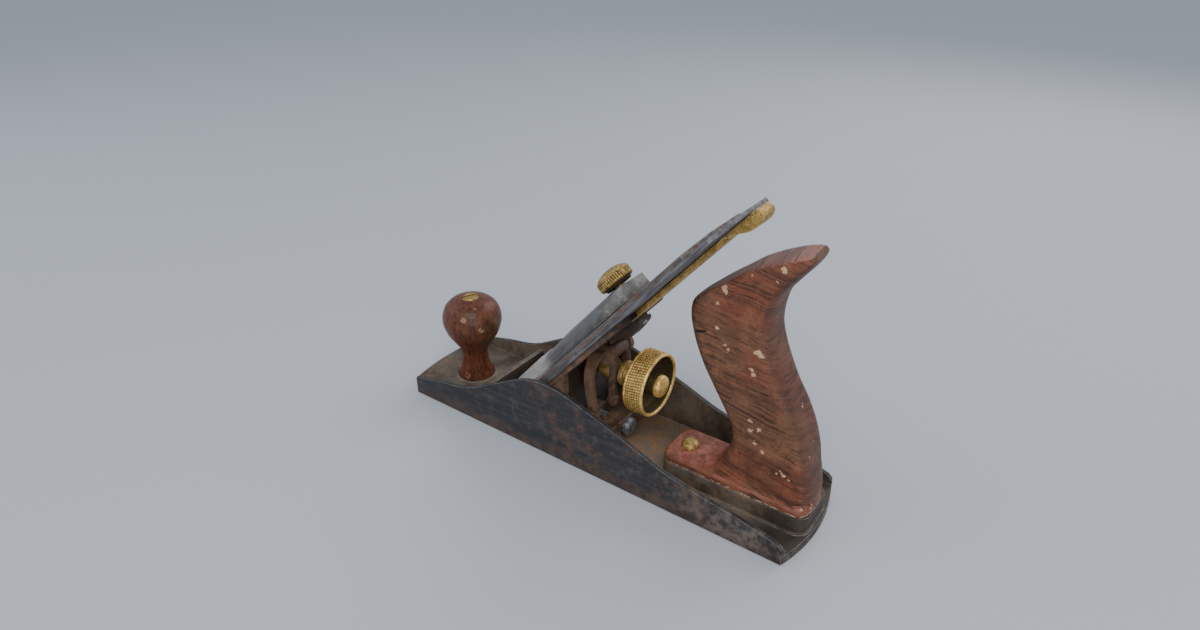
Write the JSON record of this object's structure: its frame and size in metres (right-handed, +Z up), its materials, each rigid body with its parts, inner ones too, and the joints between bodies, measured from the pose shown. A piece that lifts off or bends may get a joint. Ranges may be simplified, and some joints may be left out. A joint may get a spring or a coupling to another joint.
{
  "type": "hand plane",
  "caption": "Metal bench smoothing plane: iron casting with arched cheeks, bedded blade under a lever cap with thumbscrew, brass depth wheel, lateral lever, wooden front knob and rear handle.",
  "frame": {"origin": "centre of the sole, on the flat face that rides on the wood", "axes": "+X along the sole to the toe, +Y to the left cheek as the user pushes the plane, +Z up out of the sole"},
  "size_m": [0.2482, 0.062, 0.1552],
  "materials": {
    "casting": "worn dark casting",
    "frog_iron": "rusty brown casting",
    "dark_steel": "aged steel",
    "rusty_steel": "rusted steel",
    "iron_blade": "blue-grey steel with rust",
    "cap_blade": "dark steel with rust",
    "lever_cap": "worn bright metal",
    "brass": "tarnished brass",
    "rosewood": "polished red-brown wood"
  },
  "bodies": {
    "casting": {"body": "casting", "knob": "rosewood", "knob_rod": "dark_steel", "knob_nut": "brass", "tote": "rosewood", "tote_rod": "dark_steel", "tote_toe_screw": "brass", "frog_clamp_screws": "dark_steel", "frog_clamp_washers": "dark_steel"},
    "frog_block": {"frog": "frog_iron", "frog_fork_plate": "rusty_steel", "fork_plate_screw": "dark_steel", "lever_cap_screw": "dark_steel", "depth_stud": "dark_steel", "yoke_pin": "dark_steel", "lateral_rivet": "dark_steel"},
    "frog_screw": {"frog_adjusting_screw": "dark_steel"},
    "collar": {"depth_collar": "brass"},
    "wheel": {"depth_wheel": "brass"},
    "yoke_lever": {"yoke": "rusty_steel"},
    "iron_slide": {"cap_iron_screw": "dark_steel"},
    "iron_set": {"cutting_iron": "iron_blade", "cap_iron": "cap_blade"},
    "lateral": {"lateral_lever": "brass", "lateral_disc": "dark_steel"},
    "cap": {"lever_cap": "lever_cap"},
    "thumb_shank": {"thumbscrew_shank": "brass"},
    "thumb_head": {"thumbscrew_head": "brass"}
  },
  "joints": [
    {"name": "frog_slide", "type": "slide", "parent": "casting", "child": "frog_block", "axis": [1, 0, 0], "range_m": [-0.0015, 0.0015]},
    {"name": "frog_screw_turn", "type": "hinge", "parent": "frog_block", "child": "frog_screw", "pos_m": [-0.0138, 0, 0.0139], "axis": [1, 0, 0], "range_deg": [-540.1, 540.1]},
    {"name": "collar_slide", "type": "slide", "parent": "frog_block", "child": "collar", "axis": [-1, 0, 0], "range_m": [-0.00201, 0.00201]},
    {"name": "depth_wheel_turn", "type": "hinge", "parent": "collar", "child": "wheel", "pos_m": [-0.028, 0, 0.0475], "axis": [-1, 0, 0], "range_deg": [-576.5, 576.5]},
    {"name": "yoke_swing", "type": "hinge", "parent": "frog_block", "child": "yoke_lever", "pos_m": [-0.00656, 0, 0.05999], "axis": [0, 1, 0], "range_deg": [-9.17, 9.17]},
    {"name": "iron_advance", "type": "slide", "parent": "frog_block", "child": "iron_slide", "axis": [0.6561, 0, -0.7547], "range_m": [-0.00178, 0.00178]},
    {"name": "iron_tilt", "type": "hinge", "parent": "iron_slide", "child": "iron_set", "pos_m": [0.03164, 0, 0.03039], "axis": [0.7547, 0, 0.6561], "range_deg": [-1.3, 1.3]},
    {"name": "lateral_swing", "type": "hinge", "parent": "frog_block", "child": "lateral", "pos_m": [-0.01918, 0, 0.08427], "axis": [0.7547, 0, 0.6561], "range_deg": [-6, 6]},
    {"name": "lever_cap_slide", "type": "slide", "parent": "frog_block", "child": "cap", "axis": [-0.6561, 0, 0.7547], "range_m": [0, 0.009]},
    {"name": "thumbscrew_rise", "type": "slide", "parent": "cap", "child": "thumb_shank", "axis": [0.7547, 0, 0.6561], "range_m": [0, 0.00375]},
    {"name": "thumbscrew_turn", "type": "hinge", "parent": "thumb_shank", "child": "thumb_head", "pos_m": [-0.0053, 0, 0.10031], "axis": [0.7547, 0, 0.6561], "range_deg": [0, 1080.1]}
  ],
  "couplings": [
    {"joint": "frog_screw_turn", "follows": "frog_slide", "rad_per_m": 6283.2},
    {"joint": "depth_wheel_turn", "follows": "iron_advance", "rad_per_m": 5660.5},
    {"joint": "collar_slide", "follows": "iron_advance", "ratio": 1.1261},
    {"joint": "yoke_swing", "follows": "iron_advance", "rad_per_m": 90.09},
    {"joint": "iron_tilt", "follows": "lateral_swing", "ratio": -0.2131},
    {"joint": "thumbscrew_turn", "follows": "thumbscrew_rise", "rad_per_m": 5026.5}
  ]
}
